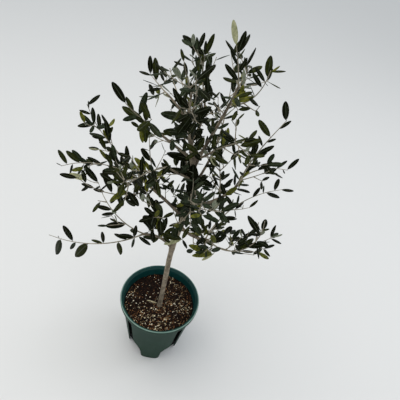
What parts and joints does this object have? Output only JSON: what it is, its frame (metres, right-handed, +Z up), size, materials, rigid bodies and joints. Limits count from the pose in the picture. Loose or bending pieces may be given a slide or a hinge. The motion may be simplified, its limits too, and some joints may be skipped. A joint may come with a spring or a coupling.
{
  "type": "potted olive tree",
  "caption": "Young olive tree with a slim leaning trunk and an open crown of narrow grey-green leaves, in a round green nursery pot with rolled rim and slitted corners.",
  "frame": {"origin": "centre of the whole plant's footprint box, at the level the pot stands on", "axes": "+Z up, -Y towards the viewer of the picture, +X to the viewer's right"},
  "size_m": [0.4066, 0.3412, 0.7984],
  "materials": {
    "pot": "satin moulded",
    "soil": "loose and rough",
    "bark": "matt bark",
    "leaves": "waxy leaves"
  },
  "bodies": {
    "root": {"bough_back": "bark", "bough_back_left": "bark", "bough_back_right": "bark", "bough_front": "bark", "bough_front_left": "bark", "bough_front_right": "bark", "bough_left": "bark", "bough_low_left": "bark", "bough_lower_right": "bark", "bough_mid_left": "bark", "bough_mid_spire": "bark", "bough_right": "bark", "bough_right_top": "bark", "bough_upper_left": "bark", "foliage_back": "leaves", "foliage_back_left": "leaves", "foliage_back_right": "leaves", "foliage_back_top": "leaves", "foliage_fork_front": "leaves", "foliage_front": "leaves", "foliage_front_left": "leaves", "foliage_front_right": "leaves", "foliage_front_top": "leaves", "foliage_inner_back": "leaves", "foliage_left_far": "leaves", "foliage_left_inner": "leaves", "foliage_left_low": "leaves", "foliage_left_main": "leaves", "foliage_left_rise": "leaves", "foliage_left_spire": "leaves", "foliage_low_back": "leaves", "foliage_low_back_right": "leaves", "foliage_low_left": "leaves", "foliage_low_left_up": "leaves", "foliage_low_right": "leaves", "foliage_lower_right": "leaves", "foliage_lower_right_front": "leaves", "foliage_mid_left": "leaves", "foliage_mid_spire": "leaves", "foliage_right_inner": "leaves", "foliage_right_mid": "leaves", "foliage_right_side": "leaves", "foliage_right_top_out": "leaves", "foliage_right_top_side": "leaves", "foliage_right_top_up": "leaves", "foliage_right_upper": "leaves", "foliage_upper_left": "leaves", "pot": "pot", "soil": "soil", "trunk": "bark"}
  },
  "joints": []
}
